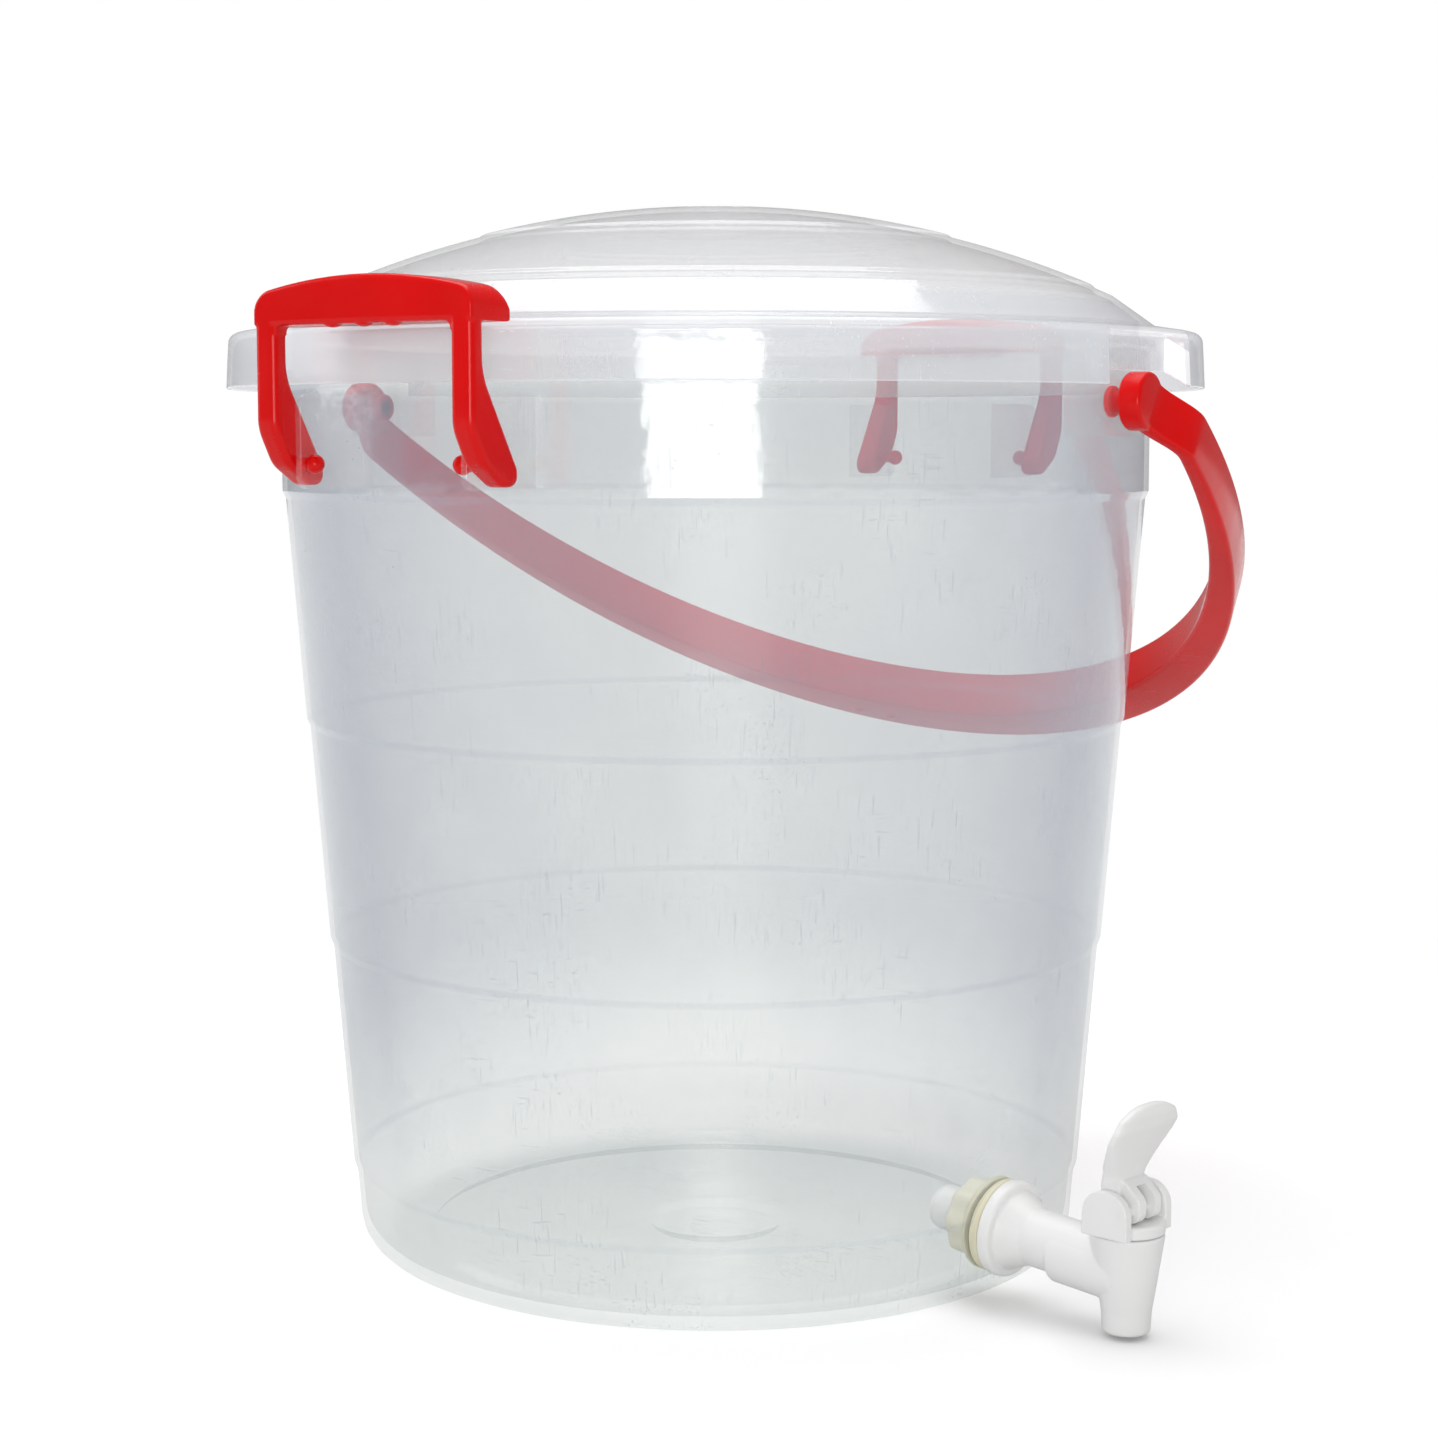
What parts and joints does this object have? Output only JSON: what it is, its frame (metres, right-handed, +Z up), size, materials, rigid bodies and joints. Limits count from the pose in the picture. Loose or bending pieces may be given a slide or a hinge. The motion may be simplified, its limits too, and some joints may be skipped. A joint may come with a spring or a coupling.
{
  "type": "bucket with tap",
  "caption": "Round see-through water bucket with a domed clip-on lid, a red swinging bail handle and a white lever tap near its foot.",
  "frame": {"origin": "on the bucket's upright axis, in the plane that its foot stands on", "axes": "+Z up along the bucket's axis; X runs along the line that the bail handle turns about, with the tap on the +X side; the two lid clips are on the -Y and +Y sides"},
  "size_m": [0.3867, 0.4209, 0.3863],
  "materials": {
    "clear_plastic": "translucent, glossy",
    "red_plastic": "glossy",
    "white_plastic": "smooth, semi-gloss",
    "cream_plastic": "smooth, semi-gloss",
    "cream_seal": "matt"
  },
  "bodies": {
    "bucket": {"bucket_body": "clear_plastic", "tap_body": "white_plastic", "tap_outer_washer": "cream_seal", "tap_inner_washer": "cream_seal", "tap_lock_nut": "cream_plastic", "tap_bonnet": "white_plastic", "tap_pivot_pin": "white_plastic"},
    "bail": {"bail_handle": "red_plastic"},
    "lid": {"lid": "clear_plastic"},
    "front_clip": {"clip_front": "red_plastic"},
    "back_clip": {"clip_back": "red_plastic"},
    "lever": {"tap_lever": "white_plastic"},
    "stem": {"tap_stem": "white_plastic", "tap_seat_cup": "cream_seal"}
  },
  "joints": [
    {"name": "bail_swing", "type": "hinge", "parent": "bucket", "child": "bail", "pos_m": [0, 0, 0.3142], "axis": [1, 0, 0], "range_deg": [0, 244]},
    {"name": "lid_lift", "type": "slide", "parent": "bucket", "child": "lid", "axis": [0, 0, 1], "range_m": [0, 0.03]},
    {"name": "front_clip_turn", "type": "hinge", "parent": "bucket", "child": "front_clip", "pos_m": [0, -0.187, 0.2934], "axis": [1, 0, 0], "range_deg": [0, 170]},
    {"name": "back_clip_turn", "type": "hinge", "parent": "bucket", "child": "back_clip", "pos_m": [0, 0.187, 0.2934], "axis": [-1, 0, 0], "range_deg": [0, 170]},
    {"name": "tap_lever_tilt", "type": "hinge", "parent": "bucket", "child": "lever", "pos_m": [0.19239, -0.03116, 0.045], "axis": [0.1599, 0.9871, 0], "range_deg": [0, 35], "stiffness_Nm_per_rad": 0.02, "springref_deg": -28.65},
    {"name": "tap_stem_lift", "type": "slide", "parent": "bucket", "child": "stem", "axis": [0, 0, 1], "range_m": [0, 0.0028]}
  ],
  "couplings": [
    {"joint": "front_clip_turn", "follows": "lid_lift", "rad_per_m": 98.8},
    {"joint": "back_clip_turn", "follows": "lid_lift", "rad_per_m": 98.8},
    {"joint": "tap_stem_lift", "follows": "tap_lever_tilt", "m_per_rad": 0.0045}
  ]
}
